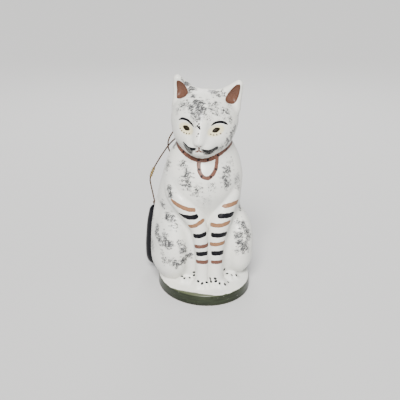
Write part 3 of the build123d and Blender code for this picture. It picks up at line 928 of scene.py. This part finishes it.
# ---- masks: where the sponge was dabbed, the green rim, and the cream round the eyes
# each dab's place, reach and strength
SPONGE = [
    # forehead, crown and ears
    (-14, -1, 192, 4, 0.8), (-14, -5, 187, 4, 0.9), (-13, -14, 184, 4, 0.9), (-12, -22, 181, 4, 1.0),
    (-9, -25, 180, 5, 1.0), (-16, -24, 177, 5, 0.9), (-14, -29, 173, 5, 0.8), (-8, -30, 175, 5, 1.0),
    (-20, -17, 178, 5, 0.7), (-1, -30, 176, 5, 0.5), (-3, -33, 169, 4, 0.4), (5, -13, 187, 5, 1.0),
    (-18, -1, 197, 3.5, 0.9), (-16, -1, 194, 3.5, 1.0), (-11, -3, 189, 3.5, 0.9), (14, -12, 185, 4, 1.0),
    (3, -30, 173, 4, 0.6), (1, -27, 179, 3.5, 0.5), (7, -29, 170, 3.5, 0.45), (14, -27, 173, 4, 0.6),
    (18, -20, 177, 4, 0.5), (-24, -14, 178, 5, 0.6), (-9, -32, 170, 4, 0.8), (12, -29, 167, 4, 0.35),
    (-3, -25, 182, 4, 0.4), (9, -15, 185, 4, 0.9), (5, -26, 179, 4, 0.6), (10, -28, 174, 4, 0.6),
    (17, -28, 166, 4, 0.5), (-26, -14, 173, 4, 0.5), (-14, -31, 169, 4, 0.5),
    # cheeks and chin
    (22, -24, 156, 5, 0.8), (18, -28, 151, 5, 1.0), (14, -31, 147, 5, 0.9), (8, -32, 142, 4, 0.6),
    (-10, -30, 138, 5, 0.4), (29, -14, 160, 6, 0.6), (-28, -4, 152, 6, 0.6),
    # sides and back of the head
    (-24, 14, 178, 7, 0.9), (-18, 22, 170, 6, 0.8), (-29, 8, 164, 6, 0.6), (20, 17, 178, 7, 0.9),
    (14, 26, 172, 6, 0.8), (27, 10, 166, 6, 0.7), (0, 28, 164, 7, 0.9), (4, 24, 178, 7, 0.7),
    (-8, 14, 187, 7, 0.7), (8, 26, 152, 6, 0.8), (-14, 24, 154, 6, 0.6), (-10, 26, 166, 6, 0.9),
    (22, 20, 170, 6, 0.8), (2, 28, 171, 5, 0.6), (30, 2, 172, 5, 0.7), (-28, 10, 171, 5, 0.7),
    # shoulders and chest
    (-27, -1, 138, 4, 0.8), (-34, -4, 121, 6, 0.8), (-23, -20, 126, 5, 0.7), (-20, -25, 121, 4, 0.6),
    (-26, -23, 112, 5, 0.4), (-21, -27, 117, 5, 1.0), (-21, -29, 110, 5, 1.0), (-35, -17, 104, 4, 1.0),
    (-35, -20, 99, 4, 1.0), (-13, -34, 108, 4, 0.8), (-15, -33, 103, 4, 0.7), (-6, -34, 95, 7, 0.3),
    (15, -27, 121, 5, 0.9), (19, -22, 126, 4, 0.5), (12, -31, 115, 5, 1.0), (14, -31, 109, 5, 0.9),
    (25, -21, 110, 6, 0.6), (27, -21, 102, 4, 0.6), (-1, -36, 109, 5, 0.4), (34, -7, 77, 4, 1.0),
    # right haunch and flank
    (-41, -4, 84, 5, 0.9), (-37, -14, 76, 5, 1.0), (-33, -18, 74, 4, 0.9), (-32, -22, 69, 4, 0.8),
    (-45, -8, 63, 5, 0.9), (-47, -7, 57, 5, 1.0), (-45, -15, 55, 5, 1.0), (-41, -21, 60, 5, 0.7),
    (-42, -22, 53, 5, 1.0), (-38, -26, 53, 5, 1.0), (-28, -28, 54, 4, 0.9), (-25, -27, 47, 5, 1.0),
    (-19, -23, 39, 4, 1.0), (-25, -26, 36, 5, 1.0), (-32, -27, 33, 5, 1.0), (-41, -22, 36, 5, 0.7),
    (-36, -27, 37, 4, 0.7), (-43, -20, 42, 4, 0.5), (-48, 4, 40, 7, 0.7), (-46, 16, 66, 7, 0.8),
    # left haunch and flank
    (28, -20, 67, 4, 0.7), (33, -21, 64, 5, 1.0), (36, -23, 58, 5, 1.0), (38, -24, 53, 4, 0.9),
    (27, -26, 56, 5, 0.9), (31, -26, 57, 4, 0.5), (28, -28, 50, 4, 1.0), (33, -28, 48, 5, 0.9),
    (32, -29, 43, 5, 1.0), (26, -28, 41, 4, 0.6), (37, -27, 42, 4, 0.8), (47, 2, 56, 7, 1.0),
    (49, 8, 46, 6, 0.9), (47, 6, 34, 7, 0.9), (42, 16, 70, 7, 0.7), (35, 2, 98, 7, 0.9),
    (34, 8, 106, 6, 0.8), (28, 10, 124, 7, 0.8),
    # back
    (-8, 24, 134, 7, 0.8), (6, 26, 128, 6, 0.8), (18, 26, 112, 7, 0.9), (10, 32, 102, 6, 0.8),
    (-28, 22, 108, 7, 0.9), (-22, 29, 98, 6, 0.8), (0, 38, 88, 7, 0.9), (8, 41, 78, 6, 0.9),
    (28, 34, 66, 7, 0.9), (34, 30, 56, 6, 0.8), (-26, 38, 58, 7, 0.9), (-16, 43, 46, 7, 0.9),
    (14, 46, 44, 7, 0.7), (34, 32, 30, 7, 0.8), (-6, 44, 66, 6, 0.6), (-2, 27, 127, 6, 0.9),
    (24, 21, 106, 6, 0.9), (3, 37, 96, 6, 0.7), (-18, 31, 105, 6, 0.8), (32, 26, 72, 6, 0.8),
    (22, 38, 60, 6, 0.9), (-32, 33, 64, 6, 0.8), (-24, 40, 50, 6, 0.9), (22, 44, 38, 6, 0.8),
    (38, 26, 24, 6, 0.7), (44, 4, 64, 6, 0.8), (50, 2, 40, 6, 0.7), (38, 12, 78, 6, 0.6),
    (33, -2, 92, 6, 0.8), (30, 14, 116, 6, 0.7), (-48, 12, 56, 6, 0.7), (-42, 20, 76, 6, 0.7),
]


def sponge_mask(p):
    mask = np.zeros(len(p))
    x, y, z = p.T
    # the sponge's edge is torn, so no print is round
    torn = 1.0 + 0.32 * np.sin(0.62 * x + 0.85 * z) * np.cos(0.71 * z - 0.55 * x)
    torn += 0.16 * np.sin(1.5 * z + 1.1 * y + 0.7 * x)
    for *centre, reach, strength in SPONGE:
        out = torn * np.linalg.norm(p - np.array(centre, float), axis=1) / reach
        shape = np.clip(1.3 - out, 0, 1)
        mask = 1 - (1 - mask) * (1 - strength * shape * shape * (3 - 2 * shape))
    return mask


def rim_mask(p):
    """How far, in millimetres, a place lies inside the green: the side, and over its top edge."""
    x, y, z = p.T
    turn = np.degrees(np.arctan2(x, -y))
    out = np.sqrt((x / PLINTH_A) ** 2 + (y / PLINTH_B) ** 2)
    edge = GREEN_EDGE - GREEN_LAP * np.exp(-(((turn - GREEN_LAP_AT) / GREEN_LAP_SPREAD) ** 2))
    over = np.where(z < PLINTH_H + 3.0, (out - edge) * PLINTH_MEAN, -9.0)
    return np.maximum(over, PLINTH_H - 0.9 - z)


# sideways, up, and tilt in degrees
EYES = {"right": (-12.6, -2.8, -17.0), "left": (12.8, -2.3, 22.0)}
HALO_LONG = 6.8
HALO_HIGH = 4.5


def halo_mask(p):
    """The cream-tinted ovals round the eyes."""
    qx, qy, qz = to_head(p).T
    mask = np.zeros(len(p))
    for x, z, tilt in EYES.values():
        c, s = math.cos(math.radians(tilt)), math.sin(math.radians(tilt))
        along = (qx - x) * c + (qz - z + 0.4) * s
        across = -(qx - x) * s + (qz - z + 0.4) * c
        out = np.sqrt((along / HALO_LONG) ** 2 + (across / HALO_HIGH) ** 2)
        mask = np.maximum(mask, np.where(qy < -10, np.clip((1.15 - out) / 0.3, 0, 1), 0))
    return mask


# ---- the cord
def route_points():
    """Points read from the route's smooth curve."""
    curve = bpy.data.curves.new("route", "CURVE")
    curve.dimensions = "3D"
    curve.resolution_u = 24
    spline = curve.splines.new("NURBS")
    spline.points.add(len(CORD_ROUTE) - 1)
    for spot, place in zip(spline.points, CORD_ROUTE):
        spot.co = (*place, 1.0)
    spline.order_u = 3
    spline.use_endpoint_u = True
    holder = bpy.data.objects.new("route", curve)
    line = bpy.data.meshes.new_from_object(holder)
    points = np.array([v.co for v in line.vertices]) / MM
    bpy.data.objects.remove(holder)
    bpy.data.curves.remove(curve)
    bpy.data.meshes.remove(line)
    return points


def frames_along(points):
    """Directions across a line that don't twist about it."""
    along = unit(np.gradient(points, axis=0))
    side = np.cross(along[0], (0.0, 0.3, 1.0))
    sides = []
    for direction in along:
        side = unit(side - direction * (side @ direction))
        sides.append(side)
    sides = np.array(sides)
    return sides, np.cross(along, sides)


def tube(points, radius_at, around=12):
    """A closed tube along points. radius_at gives the radius from the length gone and the angle."""
    one, two = frames_along(points)
    gone = length_along(points)
    angle = np.linspace(0, math.tau, around, endpoint=False)
    radius = radius_at(gone[:, None], angle[None, :])
    ring = one[:, None] * np.cos(angle)[None, :, None] + two[:, None] * np.sin(angle)[None, :, None]
    p = (points[:, None] + ring * radius[..., None]).reshape(-1, 3)
    faces = lattice(len(points), around)
    faces += [tuple(range(around))[::-1], tuple(range(len(p) - around, len(p)))]
    return p, faces


def wound(points, radius, thread, turns):
    """A thread of that radius wound round a line, as a tube along a helix."""
    one, two = frames_along(points)
    share = np.linspace(0, 1, len(points))
    fine = np.linspace(0, 1, int(abs(turns) * 14) + 1)
    angle = (fine * turns * math.tau)[:, None]
    swell = radius * (1 - 0.25 * np.clip(np.abs(fine - 0.5) * 2, 0, 1) ** 6)
    line, one, two = (read_along(values, share, fine) for values in (points, one, two))
    helix = line + (one * np.cos(angle) + two * np.sin(angle)) * swell[:, None]
    return tube(helix, lambda gone, a: thread + 0 * gone + 0 * a, 7)


def stretch_near(points, middle, length):
    """The stretch of a line, of that length, whose middle is nearest to a point."""
    gone = length_along(points)
    centre = gone[np.argmin(np.linalg.norm(points - np.array(middle, float), axis=1))]
    centre = min(max(centre, length / 2), gone[-1] - length / 2)
    return read_along(points, gone, np.linspace(centre - length / 2, centre + length / 2, 16))


def make_cord(brown, gold_paint):
    """The two-ply cord, the gold thread bound round it, and the knot at each end."""
    route = route_points()
    gone = length_along(route)
    line = read_along(route, gone, np.linspace(0, gone[-1], int(gone[-1] / CORD_STEP) + 1))
    radius = CORD_DIAMETER / MM / 2

    def two_ply(gone, angle):
        lobe = np.abs(np.cos(angle - gone * math.tau / CORD_LAY))
        return radius * (0.84 + 0.20 * lobe)

    def winding(name, stretch, clear, thread, turns, *finish):
        return mesh_piece(name, *wound(stretch, radius + clear, thread, turns), *finish)

    cord = mesh_piece("waxed_cord", *tube(line, two_ply), brown, "brown_cord", "cord")
    bound = stretch_near(line, np.array(WHIPPING_MIDDLE) / MM, WHIPPING_LENGTH / MM)
    pieces = [
        winding("gold_whipping", bound, 0.33, 0.36, 11, gold_paint, "gold_thread", "cord_whipping"),
        winding("whipping_cross_thread", bound, 0.60, 0.30, -4.5, brown, "brown_cord"),
    ]
    for node in ("shoulder_knot", "tail_tie"):
        low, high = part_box(node)
        middle = (np.array(low) + np.array(high)) / 2 / MM
        knot = stretch_near(line, middle, KNOT_LENGTH)
        pieces.append(winding(node + "_turns", knot, 0.62, 0.62, 3, brown, "brown_cord", node))


# ---- stage
FLOOR_GREY = (0.56, 0.56, 0.56, 1)
FLOOR_REACH = 14.0
FLOOR_GAP = 0.0002           # how far the floor lies under the foot
LIGHT_AIM = Vector((0, 0, 0.1))
SKY = (0.86, 0.88, 0.90, 1)
SKY_STRENGTH = 0.27


def make_stage():
    mesh = bpy.data.meshes.new("floor")
    corners = [(x * FLOOR_REACH, y * FLOOR_REACH, 0) for x, y in ((-1, -1), (1, -1), (1, 1), (-1, 1))]
    mesh.from_pydata(corners, [], [(0, 1, 2, 3)])
    pale = bpy.data.materials.new("pale_floor")
    pale.use_nodes = True
    shader = pale.node_tree.nodes["Principled BSDF"]
    shader.inputs["Base Color"].default_value = FLOOR_GREY
    shader.inputs["Roughness"].default_value = 0.7
    mesh.materials.append(pale)
    floor = put("floor", mesh)
    floor.location.z = -FLOOR_GAP


def soft_light(name, kind, place, size, power, colour=(1.0, 1.0, 1.0)):
    """An area light of that width, or a sun whose size is its angle in degrees."""
    data = bpy.data.lights.new(name, kind)
    if kind == "SUN":
        data.angle = math.radians(size)
    else:
        data.shape = "DISK"
        data.size = size
    data.energy = power
    data.color = colour
    light = put(name, data)
    light.location = place
    light.rotation_euler = (LIGHT_AIM - light.location).to_track_quat("-Z", "Y").to_euler()


def make_lights():
    soft_light("key", "SUN", (-0.30, -0.90, 1.05), 26, 8.2, (1.0, 0.985, 0.96))
    soft_light("fill", "AREA", (0.95, -0.55, 0.60), 0.8, 1.3, (0.95, 0.975, 1.0))
    soft_light("back", "AREA", (0.2, 0.95, 0.9), 0.7, 6.0)
    world = bpy.data.worlds.new("studio")
    world.use_nodes = True
    sky = world.node_tree.nodes["Background"]
    sky.inputs["Color"].default_value = SKY
    sky.inputs["Strength"].default_value = SKY_STRENGTH
    bpy.context.scene.world = world


# ---- painted markings
# width, colour, how far in the brush thins from each end, and places near the skin of the foreleg
BANDS = {
    "right": [
        (3.7, "tan", (5, 0), [(-34.5, -21, 95.5), (-30.5, -25.5, 92), (-25.5, -29, 89.5),
                              (-20, -30.5, 87.3), (-14, -30.5, 86.3)]),
        (4.3, "black", (9, 0), [(-28.5, -25.5, 83.5), (-25.5, -28.5, 82), (-20.5, -31.5, 80.7),
                                (-15.5, -32.5, 80.7), (-12.3, -32, 81.9)]),
        (3.5, "tan", (0, 4), [(-20.8, -28.5, 71), (-15.7, -33.5, 72.8), (-10.7, -33.5, 75.5),
                              (-5.4, -30, 77.3)]),
        (4.2, "black", (0, 0), [(-17.2, -31.5, 62.7), (-11.5, -35.5, 63), (-4.6, -33, 64.9)]),
        (3.6, "rose", (0, 0), [(-16.2, -30.5, 51.7), (-10.3, -35.5, 52.4), (-2, -30.5, 53)]),
        (4.3, "black", (0, 0), [(-15, -32, 44.4), (-9.4, -35.5, 45.1), (-2.9, -33, 45)]),
        (3.7, "rose", (0, 0), [(-15, -31, 36.5), (-9.3, -35, 36.7), (-2.2, -31.5, 35.5)]),
    ],
    "left": [
        (3.8, "tan", (3, 0), [(9.6, -30.5, 87.8), (16, -30.5, 88.5), (23, -27.5, 89.5),
                              (29.5, -18, 88.6)]),
        (4.5, "black", (0, 4), [(5, -33, 80), (11, -34, 80.1), (16.6, -33, 80), (22.6, -27.5, 80.2)]),
        (3.7, "tan", (0, 3), [(-1.6, -29.5, 71.5), (4.2, -35, 71.7), (10, -36, 72.4), (17.6, -31.5, 74)]),
        (4.4, "black", (0, 0), [(-0.9, -32.5, 62.4), (4.1, -36, 62.5), (9, -36.5, 62.7),
                                (14.5, -33, 63)]),
        (3.6, "tan", (0, 0), [(-1.6, -32, 53.2), (4.1, -36.5, 53.7), (12.8, -33, 54.8)]),
        (4.5, "black", (0, 0), [(-0.6, -33.5, 44.4), (5, -36.5, 44.8), (12, -32.5, 44.3)]),
        (3.5, "rose", (0, 0), [(-1, -33.5, 35.4), (4.3, -36, 35.7), (10.6, -33.5, 35.2)]),
    ],
}
# part, half its length, half its height, how far it is raised, and its colour
EYE_PARTS = [("pupil", 3.4, 2.1, 0.0, "eye"), ("iris", 1.6, 0.8, 0.07, "olive")]
# places on the front of the head, as (sideways, up)
BROWS = {
    "right": [(-20.4, 2.5), (-17, 4.4), (-12.6, 4.1), (-8.9, 1.8), (-5.8, -0.6)],
    "left": [(8.3, 1.1), (11.4, 3.6), (15.1, 4.5), (18.7, 3.8), (21.9, 1.5)],
}
BROW_WIDTH = 2.2
LASHES = {
    "right": [(-18.2, -4.2), (-16.6, -5.7), (-14.3, -6.7), (-11.8, -7), (-9.4, -6.7)],
    "left": [(8.9, -5.6), (11.3, -6.2), (13.8, -6), (16.8, -5.2)],
}
LASH_DOT = 0.65              # the radius of a dot, here and below
WHISKERS = {
    "right": [([(-14.8, -14.8), (-10.5, -16.2), (-5.2, -17.6), (-1.6, -17.3)], 1.7),
              ([(-14.8, -16.7), (-9.9, -18.4), (-4.8, -19.1), (-1.8, -18.5)], 1.35),
              ([(-14.2, -18.6), (-9.2, -20.2), (-4.4, -20.5)], 1.3),
              ([(-13.2, -20.4), (-8.8, -21.9), (-4.8, -21.9)], 1.25),
              ([(-11.8, -22), (-8.2, -23.3), (-5, -23.3)], 1.1)],
    "left": [([(2.3, -17.2), (6.8, -18.3), (11, -18), (15.6, -16.6)], 1.8),
             ([(2.6, -18.6), (7, -19.7), (11.4, -19.4), (16, -17.7)], 1.6),
             ([(3.4, -20.2), (7.4, -21.2), (11, -20.9), (15.6, -19)], 1.4),
             ([(4.2, -21.8), (8, -22.6), (12.4, -22)], 1.2)],
}
MOUTH = [[(0.7, -15.6), (0.6, -17.2), (0.5, -19)], [(0.5, -18.8), (-1, -20.4), (-3, -20.8)],
         [(0.5, -18.8), (2.2, -20.2), (4.2, -20.2)]]
MOUTH_WIDTH = 1.5
NOSTRILS = [(-1.0, -14.6), (2.2, -14.6)]
NOSTRIL_DOT = 0.6
BROW_DABS = [((-3.2, 4.6), 0.75), ((-1.2, 3), 0.8), ((-2.3, 1.3), 0.9), ((-0.8, 0.6), 1.1),
             ((-0.1, -0.6), 0.8), ((-3.6, 0.4), 0.6), ((-0.7, -4.6), 0.75), ((-1.7, -6.6), 0.55)]
EAR_PINK = {
    "right": [(-27.4, 31.6), (-23, 31.2), (-16.8, 24.2), (-18.3, 20), (-26.2, 16.8), (-27, 24)],
    "left": [(25.4, 33.4), (28.4, 32), (26.8, 21), (23, 16.4), (16.6, 20.4), (20.2, 28)],
}
COLLAR_LOW = 130.6           # height of the collar under the chin
COLLAR_RISE = 13.5           # how much higher it runs behind
COLLAR_SPREAD = 53.0         # degrees round the neck in which most of that rise comes
COLLAR_DIP = -8.0            # where it is lowest
COLLAR_AXIS = (-3.5, 0.0)
COLLAR_WIDTH = 3.6
COLLAR_DOT = 0.95
COLLAR_DOTS = (-48, -15, 2, 22, 42, 64, 88, 112, 136, 160, 184, 208, 232, 256, 284)
LOOP = [(-10, 133), (-10.8, 124.5), (-9.3, 119), (-5.4, 116.6), (-1, 117.9), (3.6, 123), (5.7, 130),
        (6.2, 134)]
LOOP_WIDTH = 3.4
LOOP_DOTS = [(-10.7, 123.6), (-9.1, 118.2), (-1.3, 117.6), (3.9, 123.2)]
# places near the skin of each paw
FOREPAW_DOT = 1.2
HIND_DOT = 1.15
FOREPAW_DOTS = [(-12.5, -34, 17), (-9.4, -36.5, 15.7), (-4.8, -35.6, 15.8), (-0.5, -34.3, 15.5),
                (3.6, -36.2, 16.4), (6.8, -38.3, 15), (11.9, -38.4, 13.5), (16.5, -32, 12),
                (-1.2, -33, 18), (3.1, -35.8, 19)]
HIND_DOTS = {
    "right": [(-14, -21.2, 20), (-13.7, -20.4, 16.5), (-18.2, -21.4, 14.7), (-23.2, -21.6, 15),
              (-25, -18.8, 15.6)],
    "left": [(15.7, -20.4, 19.4), (18.3, -21.2, 15), (22, -24.3, 14.7), (26.5, -24.7, 14.3)],
}


def collar_place(angle):
    """The collar's place at an angle round the neck, from the front."""
    wrapped = (angle - COLLAR_DIP + 180) % 360 - 180
    height = COLLAR_LOW + COLLAR_RISE * (1 - math.exp(-((wrapped / COLLAR_SPREAD) ** 2)))
    turn = math.radians(angle)
    out = np.array([math.sin(turn), -math.cos(turn), 0.0])
    start = np.array([COLLAR_AXIS[0], COLLAR_AXIS[1], height]) + 60 * out
    return cast(torso_form, start[None], -out)[0]


def make_markings(paints):
    black, rose = paints["black"], paints["rose"]
    for side, bands in BANDS.items():
        for number, (width, colour, taper, places) in enumerate(bands, 1):
            drawn(f"{side}_leg_band_{number}", [stroke(places, width, taper, 0.04)], paints[colour])
        drawn(f"{side}_brow", [stroke(on_face(BROWS[side]), BROW_WIDTH, (4, 4), 0.03)], black)
        make_eye(side, paints)
        lashes = [dot_at(place, LASH_DOT) for place in on_face(LASHES[side])]
        drawn(f"{side}_lashes", lashes, paints["lash"])
        whiskers = [raised(stroke(on_face(places), width, (5, 2), 0.10), 0.12)
                    for places, width in WHISKERS[side]]
        drawn(f"{side}_whiskers", whiskers, black)
        outline = smooth_ring(EAR_PINK[side])
        drawn(f"{side}_ear_pink", [patch_on_face(np.mean(outline, axis=0), outline)], paints["ear_pink"])
        dots = [raised(dot_at(place, HIND_DOT)) for place in HIND_DOTS[side]]
        drawn(f"{side}_hind_toe_dots", dots, black)
    mouth = [stroke(on_face(places), MOUTH_WIDTH, (0, 1.5)) for places in MOUTH]
    drawn("mouth", mouth + [dot_at(place, NOSTRIL_DOT) for place in on_face(NOSTRILS)], rose)
    drawn("brow_dabs", [dot_at(on_face([place])[0], radius) for place, radius in BROW_DABS], black)
    drawn("forepaw_toe_dots", [raised(dot_at(place, FOREPAW_DOT)) for place in FOREPAW_DOTS], black)
    seeds = [collar_place(angle) for angle in range(0, 361, 10)]
    drawn("collar", [stroke(seeds, COLLAR_WIDTH, uneven=0.05, closed=True)], rose)
    dots = [raised(dot_at(collar_place(angle), COLLAR_DOT)) for angle in COLLAR_DOTS]
    drawn("collar_dots", dots, black)
    drawn("collar_pendant_loop", [stroke(on_front(LOOP), LOOP_WIDTH, uneven=0.05)], rose)
    drawn("pendant_dots", [raised(dot_at(place, COLLAR_DOT)) for place in on_front(LOOP_DOTS)], black)


def make_eye(side, paints):
    """A dark almond with an olive glint of colour in it."""
    x, z, tilt = EYES[side]
    c, s = math.cos(math.radians(tilt)), math.sin(math.radians(tilt))
    for part, half_long, half_high, lift, colour in EYE_PARTS:
        outline = []
        for angle in np.arange(28) * math.tau / 28:
            a = half_long * math.cos(angle)
            b = half_high * math.sin(angle) * (1 - 0.25 * abs(math.cos(angle)))
            outline.append((x + a * c - b * s, z + a * s + b * c))
        drawn(f"{side}_eye_{part}", [raised(patch_on_face((x, z), outline), lift)], paints[colour])


def patch_on_face(middle, outline):
    """A filled patch drawn as (sideways, up) on the front of the head."""
    placed = on_face([middle, *outline])
    return spread(placed[0], placed[1:])


def smooth_ring(corners, count=28):
    """A rounded closed outline through a few corners."""
    corners = np.array([*corners, corners[0]], float)
    wrapped = np.concatenate([corners[-3:-1], corners, corners[1:3]])
    wide = np.arange(-2, len(corners) + 2, dtype=float)
    fine = np.linspace(0, len(corners) - 1, count, endpoint=False)
    return smooth_path(wrapped, wide, fine)


# ---- everything
random.seed(7)
make_camera()
brown = cord_brown()
make_cord(brown, gold())

make_figure(glaze())

black = black_glaze()
tail, tail_faces = surface_net(tail_form, *TAIL_BOX, TAIL_STEP)
tail = relax(tail_form, tail, tail_faces)
mesh_piece("painted_tail", tail, tail_faces, black, "black_glaze", "tail")

paints = {"black": (black, "black_glaze")}
for name, (middle, edge, pale, slot) in BRUSHES.items():
    paints[name] = (brushed(name + "_brush", middle, edge, pale), slot)
make_markings(paints)
make_stage()
make_lights()
